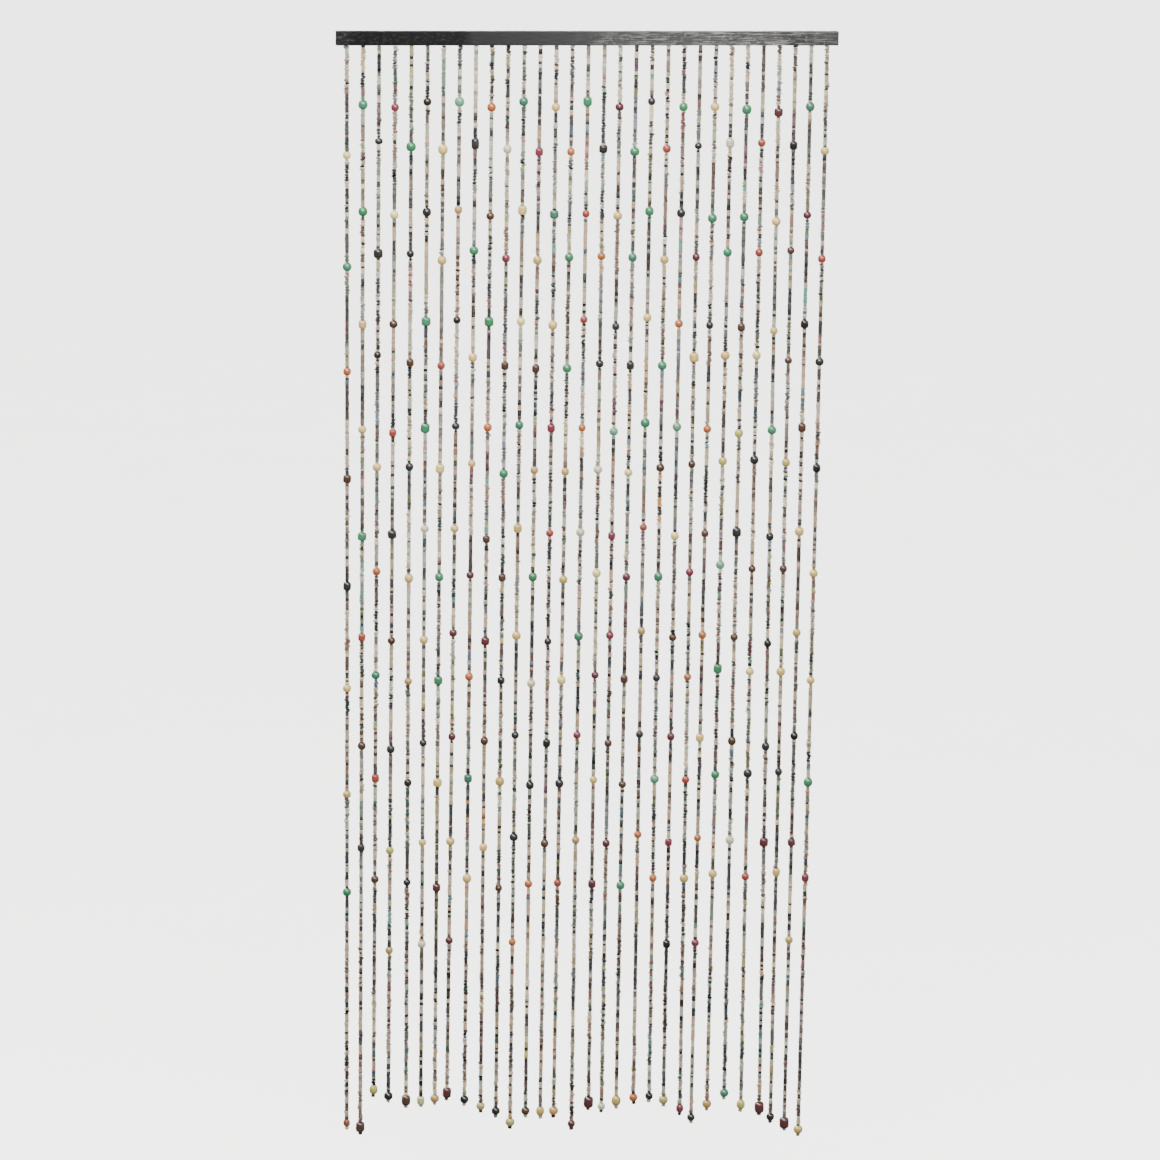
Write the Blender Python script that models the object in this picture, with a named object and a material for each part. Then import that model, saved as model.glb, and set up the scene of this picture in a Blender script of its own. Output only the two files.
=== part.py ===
# Bead curtain: strings of wooden and seed beads that hang from a stained wooden lath.
# Metres, +Z up. The origin is the centre of the lath's back face, which is fixed to a wall.
# The front faces -Y, and the strings hang a little in front of the middle of the lath's depth.

import math
import random
from collections import namedtuple

import bmesh
import bpy
from mathutils import Matrix, Vector

# Lath
RAIL_LENGTH = 0.900
RAIL_HEIGHT = 0.025
RAIL_DEPTH = 0.015
RAIL_EDGE = 0.0008

# Root strip, let into a groove in the underside of the lath
GROOVE_WIDTH = 0.0062
GROOVE_DEPTH = 0.0042
GROOVE_END = 0.0100
FIT_GAP = 0.0003
CUT_OVERSHOOT = 0.0020

# Strings
STRING_PITCH = 0.0287
STRING_SETOUT = 0.0092
SECTION_SIDES = 4
SECTION_FULLNESS = 1.10
SMALL_BEAD_RADIUS = 0.0033
ROOT_RADIUS = 0.0022
ROOT_LENGTH = 0.0060
PLUMB_DROP = 1.900
SIDE_BOW = 0.0012
FORWARD_SWAY = 0.0050
PATH_SEED = 1000

# Large beads on each string, under the first one
LARGE_BEAD_STEP = 0.1955
LARGE_BEAD_SHIFT = 0.0065
LARGE_BEAD_RADIUS_MIN = 0.0064
LARGE_BEAD_RADIUS_MAX = 0.0080

# Stopper bead and knot under each end bead
TAIL_LENGTH = 0.0065
TAIL_RADIUS = 0.0024

# A bead's height over its width, and how far up its side the full width reaches
BeadForm = namedtuple("BeadForm", "rise shoulder")
NECK_REACH = 0.48
BEAD_FORMS = {
    "ball": BeadForm(rise=0.93, shoulder=0.22),
    "oval": BeadForm(rise=1.20, shoulder=0.20),
    "drum": BeadForm(rise=1.15, shoulder=0.40),
}

# Each string, from the left: its drop, its first large bead's depth below the lath and
# width, how far it leans to the right by PLUMB_DROP, its number of large beads, and its
# end bead's form and width. Lengths are in mm
StringRow = namedtuple("StringRow", "drop first width lean large end end_width")
STRINGS = [
    StringRow(2025, 195, 13.5, 6, 8, "oval", 11.5),
    StringRow(2037, 105, 16.0, 3, 8, "drum", 15.0),
    StringRow(1963, 170, 14.0, -1, 8, "oval", 14.0),
    StringRow(1975, 110, 13.5, -2, 9, "ball", 15.0),
    StringRow(1985, 180, 16.5, 2, 8, "drum", 15.0),
    StringRow(1985, 100, 14.0, 1, 9, "drum", 12.5),
    StringRow(1983, 185, 16.5, -1, 8, "ball", 15.0),
    StringRow(1973, 100, 16.5, -7, 9, "drum", 15.0),
    StringRow(1985, 175, 13.5, -3, 8, "ball", 14.5),
    StringRow(2000, 110, 15.0, -1, 8, "ball", 14.5),
    StringRow(2010, 185, 14.5, -1, 8, "ball", 14.5),
    StringRow(2035, 100, 15.5, -2, 9, "ball", 15.5),
    StringRow(2013, 190, 13.5, -2, 8, "ball", 14.5),
    StringRow(2015, 110, 14.5, -3, 8, "oval", 14.0),
    StringRow(2015, 190, 13.5, -6, 8, "ball", 16.0),
    StringRow(2040, 100, 15.0, -1, 8, "ball", 13.0),
    StringRow(2002, 185, 14.5, 2, 8, "drum", 16.5),
    StringRow(2007, 110, 14.5, -2, 8, "ball", 13.0),
    StringRow(2000, 190, 16.5, -3, 8, "oval", 15.5),
    StringRow(1993, 100, 13.0, 1, 8, "ball", 14.5),
    StringRow(1990, 185, 14.5, 2, 8, "ball", 13.5),
    StringRow(2000, 110, 15.0, 1, 9, "ball", 15.5),
    StringRow(2017, 180, 13.0, 3, 8, "oval", 13.0),
    StringRow(2035, 110, 15.0, -3, 9, "ball", 13.5),
    StringRow(2010, 175, 14.0, -2, 8, "ball", 15.5),
    StringRow(1990, 115, 16.5, 2, 8, "ball", 15.0),
    StringRow(2015, 175, 13.5, 5, 8, "oval", 14.5),
    StringRow(2022, 120, 15.0, 11, 8, "drum", 16.5),
    StringRow(2039, 180, 13.5, 5, 8, "ball", 14.0),
    StringRow(2055, 110, 15.5, 3, 9, "drum", 16.5),
    StringRow(2067, 190, 14.5, 2, 8, "ball", 15.5),
]
MM = 0.001

# Colours, as linear red, green and blue
BLACK_STAIN = (0.055, 0.055, 0.055)
MIXED_BEADS = (0.28, 0.25, 0.21)

# Places and sizes that follow from the ones above
STRING_Y = -STRING_SETOUT
UNDERSIDE_Z = -RAIL_HEIGHT / 2
GROOVE_LENGTH = RAIL_LENGTH - 2 * GROOVE_END
STRIP_LENGTH = GROOVE_LENGTH - 2 * FIT_GAP
STRIP_WIDTH = GROOVE_WIDTH - 2 * FIT_GAP
STRIP_HEIGHT = GROOVE_DEPTH - FIT_GAP


def clear_scene():
    for obj in list(bpy.data.objects):
        bpy.data.objects.remove(obj, do_unlink=True)


def make_material(name, colour, roughness):
    material = bpy.data.materials.new(name)
    material.use_nodes = True
    shader = material.node_tree.nodes["Principled BSDF"]
    shader.inputs["Base Color"].default_value = (*colour, 1.0)
    shader.inputs["Roughness"].default_value = roughness
    shader.inputs["Metallic"].default_value = 0.0
    return material


def make_object(name, bm, material, parent, location):
    mesh = bpy.data.meshes.new(name)
    bm.to_mesh(mesh)
    bm.free()
    mesh.materials.append(material)
    obj = bpy.data.objects.new(name, mesh)
    bpy.context.scene.collection.objects.link(obj)
    obj.location = location
    obj.parent = parent
    return obj


def make_block(size):
    bm = bmesh.new()
    bmesh.ops.create_cube(bm, size=1.0)
    bmesh.ops.scale(bm, vec=size, verts=bm.verts)
    return bm


def hide_operand(obj):
    obj.hide_render = True
    obj.display_type = "WIRE"


def add_boolean(obj, operation, operand):
    modifier = obj.modifiers.new(operation.title(), "BOOLEAN")
    modifier.operation = operation
    modifier.solver = "EXACT"
    modifier.object = operand


# Lath

def make_rail(parent):
    material = make_material("black_stained_wood", BLACK_STAIN, roughness=0.6)
    middle = Vector((0, -RAIL_DEPTH / 2, 0))
    rail = make_object(
        "rail", make_block((RAIL_LENGTH, RAIL_DEPTH, RAIL_HEIGHT)), material, parent, middle
    )
    bevel = rail.modifiers.new("Eased edges", "BEVEL")
    bevel.width = RAIL_EDGE
    bevel.segments = 2

    cutter_height = GROOVE_DEPTH + CUT_OVERSHOOT
    cutter_z = UNDERSIDE_Z + GROOVE_DEPTH - cutter_height / 2
    cutter = make_object(
        "groove_cutter",
        make_block((GROOVE_LENGTH, GROOVE_WIDTH, cutter_height)),
        material,
        parent,
        Vector((0, STRING_Y, cutter_z)),
    )
    hide_operand(cutter)
    add_boolean(rail, "DIFFERENCE", cutter)
    return rail


# Strings

def string_point(row, number, depth):
    """Place on a string, depth metres below the lath."""
    chance = random.Random(PATH_SEED + number)
    bow = chance.uniform(-SIDE_BOW, SIDE_BOW)
    sway = -chance.uniform(0.0, FORWARD_SWAY)
    share = depth / PLUMB_DROP
    root_x = (number - (len(STRINGS) - 1) / 2) * STRING_PITCH
    return Vector((
        root_x + row.lean * MM * share + bow * math.sin(math.pi * share),
        STRING_Y + sway * share,
        UNDERSIDE_Z - depth,
    ))


def large_beads(row, number):
    """Depth and radius of each large bead on a string."""
    chance = random.Random(number)
    first = row.first * MM
    beads = [(first, row.width * MM / 2)]
    for step in range(1, row.large):
        shift = chance.uniform(-LARGE_BEAD_SHIFT, LARGE_BEAD_SHIFT)
        radius = chance.uniform(LARGE_BEAD_RADIUS_MIN, LARGE_BEAD_RADIUS_MAX)
        beads.append((first + step * LARGE_BEAD_STEP + shift, radius))
    return beads


def bead_rings(depth, width, form_name):
    """Four rings, as depth and radius: the neck, the bead's two shoulders and the neck."""
    form = BEAD_FORMS[form_name]
    height = width * form.rise
    reach = NECK_REACH * height
    shoulder = form.shoulder * height
    return [
        (depth - reach, SMALL_BEAD_RADIUS),
        (depth - shoulder, width / 2),
        (depth + shoulder, width / 2),
        (depth + reach, SMALL_BEAD_RADIUS),
    ]


def string_rings(row, number):
    """The rings of a whole string, from inside the root strip to the knot at its end."""
    rings = [(-STRIP_HEIGHT / 2, ROOT_RADIUS), (ROOT_LENGTH, SMALL_BEAD_RADIUS)]
    for depth, radius in large_beads(row, number):
        rings += bead_rings(depth, 2 * radius, "ball")
    drop = row.drop * MM
    end_width = row.end_width * MM
    end_height = end_width * BEAD_FORMS[row.end].rise
    end_rings = bead_rings(drop - TAIL_LENGTH - end_height / 2, end_width, row.end)
    rings += end_rings[:-1]
    rings += [(drop - TAIL_LENGTH, TAIL_RADIUS), (drop, TAIL_RADIUS)]
    return rings


def add_string(bm, row, number):
    loops = []
    for depth, radius in string_rings(row, number):
        circle = bmesh.ops.create_circle(
            bm,
            segments=SECTION_SIDES,
            radius=radius * SECTION_FULLNESS,
            matrix=Matrix.Translation(string_point(row, number, depth)),
        )
        loops.append(circle["verts"])
    for upper, lower in zip(loops, loops[1:]):
        for side in range(SECTION_SIDES):
            after = (side + 1) % SECTION_SIDES
            bm.faces.new((upper[side], lower[side], lower[after], upper[after]))
    bm.faces.new(loops[0])
    bm.faces.new(reversed(loops[-1]))


def make_strands(parent):
    """The root strip with every string fused to it, as one solid."""
    material = make_material("mixed_beads", MIXED_BEADS, roughness=0.45)
    bm = bmesh.new()
    for number, row in enumerate(STRINGS):
        add_string(bm, row, number)
    bmesh.ops.recalc_face_normals(bm, faces=bm.faces)
    bundle = make_object("string_bundle", bm, material, parent, Vector())
    hide_operand(bundle)

    strip_z = UNDERSIDE_Z + STRIP_HEIGHT / 2
    strands = make_object(
        "strands",
        make_block((STRIP_LENGTH, STRIP_WIDTH, STRIP_HEIGHT)),
        material,
        parent,
        Vector((0, STRING_Y, strip_z)),
    )
    add_boolean(strands, "UNION", bundle)
    return strands


def main():
    clear_scene()
    curtain = bpy.data.objects.new("bead_curtain", None)
    bpy.context.scene.collection.objects.link(curtain)
    make_rail(curtain)
    make_strands(curtain)


main()
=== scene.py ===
import math
import random

import bmesh
import bpy
import numpy as np
from mathutils import Matrix, Vector


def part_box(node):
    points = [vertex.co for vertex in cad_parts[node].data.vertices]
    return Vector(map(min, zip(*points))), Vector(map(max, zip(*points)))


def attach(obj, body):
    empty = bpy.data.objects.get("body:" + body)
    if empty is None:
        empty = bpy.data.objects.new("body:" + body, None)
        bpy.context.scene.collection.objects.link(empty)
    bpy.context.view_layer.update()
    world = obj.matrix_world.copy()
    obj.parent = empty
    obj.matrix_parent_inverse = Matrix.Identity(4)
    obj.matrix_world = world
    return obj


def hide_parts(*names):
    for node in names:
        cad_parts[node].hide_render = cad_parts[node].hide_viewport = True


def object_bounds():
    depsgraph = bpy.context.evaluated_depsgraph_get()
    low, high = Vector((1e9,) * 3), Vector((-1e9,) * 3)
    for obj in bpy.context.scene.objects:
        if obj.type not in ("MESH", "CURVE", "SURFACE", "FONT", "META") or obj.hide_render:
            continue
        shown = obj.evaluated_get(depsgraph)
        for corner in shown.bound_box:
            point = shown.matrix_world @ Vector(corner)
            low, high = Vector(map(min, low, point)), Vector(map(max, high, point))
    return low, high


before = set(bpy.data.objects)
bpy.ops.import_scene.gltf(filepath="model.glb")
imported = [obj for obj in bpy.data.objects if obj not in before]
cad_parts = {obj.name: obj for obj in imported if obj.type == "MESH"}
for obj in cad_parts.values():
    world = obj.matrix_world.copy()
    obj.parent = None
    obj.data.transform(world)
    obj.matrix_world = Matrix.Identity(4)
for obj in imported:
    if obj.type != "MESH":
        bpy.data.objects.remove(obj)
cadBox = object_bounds()
mm = 0.001


# Small helpers

def linearColour(hexCode):  # "#rrggbb" in sRGB to linear red, green, blue and alpha
    channels = [int(hexCode[i:i + 2], 16) / 255 for i in (1, 3, 5)]
    linear = [c / 12.92 if c <= 0.04045 else ((c + 0.055) / 1.055) ** 2.4 for c in channels]
    return (*linear, 1.0)


def addNode(tree, kind, settings=None, links=None):  # settings: the node's own or its sockets'
    node = tree.nodes.new(kind)
    for key, value in (settings or {}).items():
        if isinstance(key, str) and hasattr(node, key):
            setattr(node, key, value)
        else:
            node.inputs[key].default_value = value
    for key, socket in (links or {}).items():
        tree.links.new(socket, node.inputs[key])
    return node


def newMaterial(name):
    material = bpy.data.materials.new(name)
    material.use_nodes = True
    tree = material.node_tree
    tree.nodes.clear()
    shader = addNode(tree, "ShaderNodeBsdfPrincipled")
    addNode(tree, "ShaderNodeOutputMaterial", links={"Surface": shader.outputs["BSDF"]})
    return material, tree, shader


def deselectAll():
    bpy.ops.object.select_all(action="DESELECT")


def makeActive(obj):
    deselectAll()
    obj.select_set(True)
    bpy.context.view_layer.objects.active = obj


def selectWhere(obj, test, kind="faces"):  # in edit mode: selects what passes the test
    bpy.ops.mesh.select_all(action="DESELECT")
    mesh = bmesh.from_edit_mesh(obj.data)
    for item in getattr(mesh, kind):
        item.select_set(test(item))
    mesh.select_flush_mode()
    bmesh.update_edit_mesh(obj.data)


def finishPiece(obj, material):
    obj.data.name = obj.name
    obj.data.materials.clear()
    obj.data.materials.append(material)
    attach(obj, "root")
    return obj


# Camera, at the photograph's viewing angle

cameraSettings = {
    "focalPixels": 4500.0,
    "imagePixels": 1160.0,
    "sensorMm": 36.0,
    "place": (-1.0711, -7.9283, 0.9274),
    "yaw": -7.699,  # degrees, positive to the left
    "down": 13.485,
    "roll": 0.909,
    "farthest": 200.0,
}


def makeCamera():
    s = cameraSettings
    data = bpy.data.cameras.new("camera")
    data.sensor_width = s["sensorMm"]
    data.lens = s["focalPixels"] / s["imagePixels"] * s["sensorMm"]
    data.clip_end = s["farthest"]
    camera = bpy.data.objects.new("camera", data)
    bpy.context.scene.collection.objects.link(camera)
    yaw = Matrix.Rotation(math.radians(s["yaw"]), 4, "Z")
    pitch = Matrix.Rotation(math.radians(90 - s["down"]), 4, "X")
    roll = Matrix.Rotation(math.radians(s["roll"]), 4, "Z")
    camera.matrix_world = Matrix.Translation(s["place"]) @ yaw @ pitch @ roll
    bpy.context.scene.camera = camera


makeCamera()
print("camera set")


# Strings, from the left. In mm: the drop, the first large bead's depth below the lath and its width, and
# the lean to the right. Then the number of large beads, the end bead's form and width in mm, and the
# colours of the end bead, of the stopper under it and of the first large bead

columns = ("drop", "first", "firstWidth", "lean", "large", "endForm", "endWidth", "endColour", "stopper",
           "firstColour")
stringRows = [dict(zip(columns, row)) for row in (
    (2025, 195, 13.5, 6, 8, "oval", 11.5, "rust", "silver", "cream"),
    (2037, 105, 16.0, 3, 8, "drum", 15.0, "walnut", "soot", "jade"),
    (1963, 170, 14.0, -1, 8, "oval", 14.0, "olive", "iron", "charcoal"),
    (1975, 110, 13.5, -2, 9, "ball", 15.0, "black", "silver", "crimson"),
    (1985, 180, 16.5, 2, 8, "drum", 15.0, "walnut", "oat", "green"),
    (1985, 100, 14.0, 1, 9, "drum", 12.5, "celadon", "silver", "espresso"),
    (1983, 185, 16.5, -1, 8, "ball", 15.0, "tan", "oat", "sand"),
    (1973, 100, 16.5, -7, 9, "drum", 15.0, "oxblood", "wine", "mint"),
    (1985, 175, 13.5, -3, 8, "ball", 14.5, "soot", "oat", "charcoal"),
    (2000, 110, 15.0, -1, 8, "ball", 14.5, "khaki", "wine", "orange"),
    (2010, 185, 14.5, -1, 8, "ball", 14.5, "soot", "pewter", "chalk"),
    (2035, 100, 15.5, -2, 9, "ball", 15.5, "khaki", "jet", "teal"),
    (2013, 190, 13.5, -2, 8, "ball", 14.5, "terracotta", "silver", "crimson"),
    (2015, 110, 14.5, -3, 8, "oval", 14.0, "straw", "silver", "sand"),
    (2015, 190, 13.5, -6, 8, "ball", 16.0, "tan", "bark", "orange"),
    (2040, 100, 15.0, -1, 8, "ball", 13.0, "maroon", "wine", "jade"),
    (2002, 185, 14.5, 2, 8, "drum", 16.5, "oxblood", "wine", "charcoal"),
    (2007, 110, 14.5, -2, 8, "ball", 13.0, "chalk", "soot", "maroon"),
    (2000, 190, 16.5, -3, 8, "oval", 15.5, "straw", "silver", "green"),
    (1993, 100, 13.0, 1, 8, "ball", 14.5, "orange", "soot", "charcoal"),
    (1990, 185, 14.5, 2, 8, "ball", 13.5, "soot", "silver", "coral"),
    (2000, 110, 15.0, 1, 9, "ball", 15.5, "khaki", "oat", "green"),
    (2017, 180, 13.0, 3, 8, "oval", 13.0, "crimson", "bark", "charcoal"),
    (2035, 110, 15.0, -3, 9, "ball", 13.5, "charcoal", "silver", "sand"),
    (2010, 175, 14.0, -2, 8, "ball", 15.5, "mustard", "wheat", "chalk"),
    (1990, 115, 16.5, 2, 8, "ball", 15.0, "jade", "silver", "green"),
    (2015, 175, 13.5, 5, 8, "oval", 14.5, "olive", "lichen", "coral"),
    (2022, 120, 15.0, 11, 8, "drum", 16.5, "maroon", "wine", "maroon"),
    (2039, 180, 13.5, 5, 8, "ball", 14.0, "espresso", "bark", "black"),
    (2055, 110, 15.5, 3, 9, "drum", 16.5, "oxblood", "silver", "teal"),
    (2067, 190, 14.5, 2, 8, "ball", 15.5, "straw", "wheat", "sand"),
)]
everyString = list(range(len(stringRows)))

railLow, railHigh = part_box("rail")
underside = railLow.z

pathSettings = {
    "setout": 9.2 * mm,  # from the wall to the strings
    "pitch": 28.7 * mm,
    "plumbDrop": 1.9,  # the depth at which a string has its full lean
    "sideBow": 1.2 * mm,
    "forwardSway": 5.0 * mm,
    "seed": 1000,
    "largeStep": 195.5 * mm,
    "largeShift": 6.5 * mm,
    "largeRadius": (6.4 * mm, 8.0 * mm),
}
stringY = -pathSettings["setout"]


def stringPath(number):  # a function from depth below the lath to a place on the string
    row = stringRows[number]
    chance = random.Random(pathSettings["seed"] + number)
    bow = chance.uniform(-pathSettings["sideBow"], pathSettings["sideBow"])
    sway = -chance.uniform(0.0, pathSettings["forwardSway"])
    rootX = (number - (len(stringRows) - 1) / 2) * pathSettings["pitch"]

    def place(depth):
        share = depth / pathSettings["plumbDrop"]
        x = rootX + row["lean"] * mm * share + bow * math.sin(math.pi * share)
        return (x, stringY + sway * share, underside - depth)

    return place


def largeBeadPlaces(number):  # depth and radius of each large bead, in metres
    row = stringRows[number]
    chance = random.Random(number)
    shift = pathSettings["largeShift"]
    first = row["first"] * mm
    beads = [(first, row["firstWidth"] * mm / 2)]
    for step in range(1, row["large"]):
        moved = chance.uniform(-shift, shift)
        radius = chance.uniform(*pathSettings["largeRadius"])
        beads.append((first + step * pathSettings["largeStep"] + moved, radius))
    return beads


# Bead forms. A profile runs down the bead's side, as height and radius in shares of its height and width.
# The dimple is how far from the middle the bead's pole lies, sunk into the mouth of the drilled hole

beadForms = {
    "seed": {"sides": 7, "dimple": 0.44,
             "profile": ((0.50, 0.38), (0.26, 0.49), (-0.26, 0.49), (-0.50, 0.38))},
    "round": {"sides": 7, "dimple": 0.42,
              "profile": ((0.48, 0.24), (0.23, 0.48), (-0.23, 0.48), (-0.48, 0.24))},
    "tube": {"sides": 7, "dimple": 0.46,
             "profile": ((0.50, 0.42), (0.44, 0.50), (-0.44, 0.50), (-0.50, 0.42))},
    "chip": {"sides": 7, "dimple": 0.40,
             "profile": ((0.44, 0.30), (0.12, 0.50), (-0.30, 0.44), (-0.50, 0.26))},
}
largeForms = {  # power: 2 gives an ellipse and more gives squarer shoulders; rise: height over width
    "ball": {"sides": 18, "bands": 11, "dimple": 0.36, "power": 2.3, "rise": 0.93},
    "oval": {"sides": 18, "bands": 11, "dimple": 0.36, "power": 2.25, "rise": 1.20},
    "drum": {"sides": 18, "bands": 11, "dimple": 0.36, "power": 4.5, "rise": 1.15},
}
holeShare = 0.13  # radius of the drilled hole's mouth over the bead's width
turningSettings = {
    "near": 1e-4,  # a point this near to a ring is on it
    "lift": 10.0,  # rings that have their shape wait this high
}


def roundedProfile(bands, power):  # a superellipse from one mouth of the hole to the other
    start = math.asin(holeShare * 2)
    angles = [start + (math.pi - 2 * start) * i / (bands - 1) for i in range(bands)]
    profile = []
    for angle in angles:
        c, s = math.cos(angle), math.sin(angle)
        scale = (abs(c) ** power + s ** power) ** (-1 / power)
        profile.append((0.5 * c * scale, 0.5 * s * scale))
    return profile


def turnBead(name, sides, profile, dimple):  # a bead of width and height 1
    near, lift = turningSettings["near"], turningSettings["lift"]
    deselectAll()
    rings = len(profile)
    bpy.ops.mesh.primitive_uv_sphere_add(segments=sides, ring_count=rings + 1, radius=0.5)
    bead = bpy.context.object
    bead.name = name
    bpy.ops.object.mode_set(mode="EDIT")
    for ring, (height, radius) in enumerate(profile, 1):
        angle = math.pi * ring / (rings + 1)
        z, r = 0.5 * math.cos(angle), 0.5 * math.sin(angle)
        selectWhere(bead, lambda v: abs(v.co.z - z) < near and v.co.xy.length > near
                    and abs(v.co.xy.length - r) < near, "verts")
        bpy.ops.transform.resize(value=(radius / r, radius / r, 1))
        bpy.ops.transform.translate(value=(0, 0, height - z + lift))  # clear of the rings to come
    for pole in (1, -1):
        selectWhere(bead, lambda v: v.co.xy.length < near and v.co.z * pole > 0, "verts")
        bpy.ops.transform.translate(value=(0, 0, pole * (dimple - 0.5)))
    selectWhere(bead, lambda v: v.co.z > lift / 2, "verts")
    bpy.ops.transform.translate(value=(0, 0, -lift))
    bpy.ops.object.mode_set(mode="OBJECT")
    return bead


def shapeArrays(obj):  # a model's points, faces and the map it came with, as arrays
    mesh = obj.data
    points = np.array([v.co for v in mesh.vertices])
    faces = [list(p.vertices) for p in mesh.polygons]
    uv = np.array([corner.uv for corner in mesh.uv_layers.active.data])
    bpy.data.objects.remove(obj)
    return {"points": points, "faces": faces, "uv": uv}


smallShapes = {name: shapeArrays(turnBead(name, form["sides"], form["profile"], form["dimple"]))
               for name, form in beadForms.items()}
largeShapes = {}
for name, form in largeForms.items():
    profile = roundedProfile(form["bands"], form["power"])
    largeShapes[name] = shapeArrays(turnBead(name, form["sides"], profile, form["dimple"]))
print("bead models turned")


# Colours

colourFamilies = {  # share: how often a family comes up against the others
    "grey": {"share": 29, "colours": {
        "silver": "#a19b88", "ash": "#8a8271", "pewter": "#68645a", "slate": "#54544f", "iron": "#3f3c37",
    }},
    "dark": {"share": 22, "colours": {
        "jet": "#1e1d1b", "soot": "#2c2823", "bark": "#382b21", "midnight": "#2d302f",
        "aubergine": "#3a2f31",
    }},
    "warm": {"share": 31, "colours": {
        "ivory": "#beb08c", "oat": "#ab9974", "wheat": "#907e5a", "apricot": "#a88a6c",
        "biscuit": "#a28d74", "clay": "#725a49", "cocoa": "#4f3e31",
    }},
    "red": {"share": 9, "colours": {
        "wine": "#4d3334", "brick": "#634a40", "salmon": "#977569", "rose": "#997e73",
        "raspberry": "#66484b", "rust": "#705446",
    }},
    "green": {"share": 11, "colours": {
        "olive": "#5c5839", "lichen": "#8a865e", "moss": "#4d523d", "bottle": "#313f38",
        "verdigris": "#5d6f5e", "sage": "#87937c", "celadon": "#91977c",
    }},
    "blue": {"share": 2, "colours": {
        "lagoon": "#526967", "petrol": "#3f4a50", "storm": "#656d74", "lilac": "#757078",
    }},
    "bright": {"share": 2, "colours": {
        "turquoise": "#518272", "amber": "#a67c4e", "scarlet": "#7c4644", "sunflower": "#b59c5a",
        "cobalt": "#4b5a6a",
    }},
}
smallColours = {name: linearColour(code) for family in colourFamilies.values()
                for name, code in family["colours"].items()}
largeColours = {name: linearColour(code) for name, code in {
    "green": "#2f6a44", "jade": "#306a4a", "mint": "#528263", "teal": "#31604b", "celadon": "#a5a972",
    "sand": "#b99c5a", "straw": "#a48d4c", "mustard": "#937b43", "olive": "#9a954a", "khaki": "#978e52",
    "cream": "#c3b36c", "chalk": "#b0aa8d", "tan": "#9a7a48", "orange": "#94522a", "rust": "#753c28",
    "coral": "#82352a", "terracotta": "#40291a", "crimson": "#6a2732", "maroon": "#4c2125",
    "oxblood": "#442020", "walnut": "#432c22", "espresso": "#1f150c", "soot": "#16140e",
    "charcoal": "#232120", "black": "#151413",
}.items()}
largeBags = (  # the least radius in mm, and the chances of the colours dyed in that size
    (7.50, {"green": 4, "jade": 3, "mint": 1, "sand": 4, "straw": 1, "maroon": 1, "charcoal": 1}),
    (7.10, {"cream": 3, "sand": 3, "straw": 2, "olive": 1, "chalk": 2, "orange": 1, "maroon": 2,
            "charcoal": 2, "teal": 1, "terracotta": 1}),
    (0.00, {"charcoal": 6, "soot": 2, "maroon": 3, "terracotta": 3, "coral": 3, "crimson": 2, "orange": 3,
            "walnut": 2, "espresso": 2, "tan": 2, "sand": 2, "straw": 1}),
)
kinOf = {  # small beads that often sit against a large one
    "green": "bottle", "jade": "verdigris", "mint": "sage", "teal": "lagoon", "celadon": "sage",
    "sand": "wheat", "straw": "wheat", "mustard": "clay", "olive": "lichen", "khaki": "oat",
    "cream": "ivory", "chalk": "silver", "tan": "biscuit", "orange": "apricot", "rust": "brick",
    "terracotta": "clay", "coral": "salmon", "crimson": "raspberry", "maroon": "wine", "oxblood": "wine",
    "walnut": "cocoa", "espresso": "bark", "soot": "soot", "charcoal": "soot", "black": "jet",
}


# Beads on the strings. Sizes in mm and tilts in degrees. Shade multiplies a bead's colour, gloss is its
# roughness, and stray is how far its middle may lie off the thread

smallBeadSettings = {  # offCentre: the share of a wide bead's spare width that it may stray by
    "seed": {"width": (7.1, 8.6), "height": (2.4, 3.7), "offCentre": 0.5, "tilt": 8},
    "tube": {"width": (6.9, 8.1), "height": (4.0, 6.2), "offCentre": 0.3, "tilt": 3},
    "round": {"width": (8.2, 10.2), "height": (4.4, 6.4), "offCentre": 0.6, "tilt": 14},
    "chip": {"width": (8.2, 11.4), "height": (3.4, 5.4), "offCentre": 0.6, "tilt": 15},
}
stringCore = 6.9  # the width that every bead covers on both sides of the thread
stretchStyles = {  # chances of each form in a stretch of a string
    "slim": {"seed": 8, "tube": 3, "round": 0.4},
    "tubes": {"tube": 8, "seed": 2},
    "beaded": {"round": 7, "seed": 4, "chip": 1},
    "nuggets": {"chip": 4, "round": 4, "seed": 3},
}
stringCharacters = (  # chances of each style in a whole string
    {"slim": 7, "tubes": 2, "beaded": 2, "nuggets": 2},
    {"slim": 3, "tubes": 1, "beaded": 4, "nuggets": 4},
    {"slim": 4, "tubes": 1, "beaded": 3, "nuggets": 4},
)
layoutSettings = {
    "seed": 5000,
    "stretch": (22.0, 105.0),  # length of one style and one choice of colours
    "stretchColours": (5, 9),
    "runEnds": {"seed": 0.50, "tube": 0.80, "round": 0.75, "chip": 0.70},  # chance that the colour changes
    "longestRun": 6,
    "least": 1.7,  # the shortest bead that closes a gap
    "seedBelow": 3.0,  # a bead that is cut shorter than this to close a gap is a seed bead
    "bareRoot": (0.0, 0.8),
    "kinChance": 0.55,
    "kinWidth": (7.0, 8.6),
    "shade": (0.75, 1.15),
    "gloss": (0.22, 0.30, 0.38, 0.50),
}
largeBeadSettings = {  # fullness: the turned beads reach out as far as the solids' four corners
    "fullness": 1.05,
    "drumChance": 0.18,
    "tall": (0.92, 1.06),  # height over width
    "stray": 0.3,
    "tilt": 4,
    "shade": (0.92, 1.06),
    "gloss": (0.20, 0.34),
}
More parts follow.
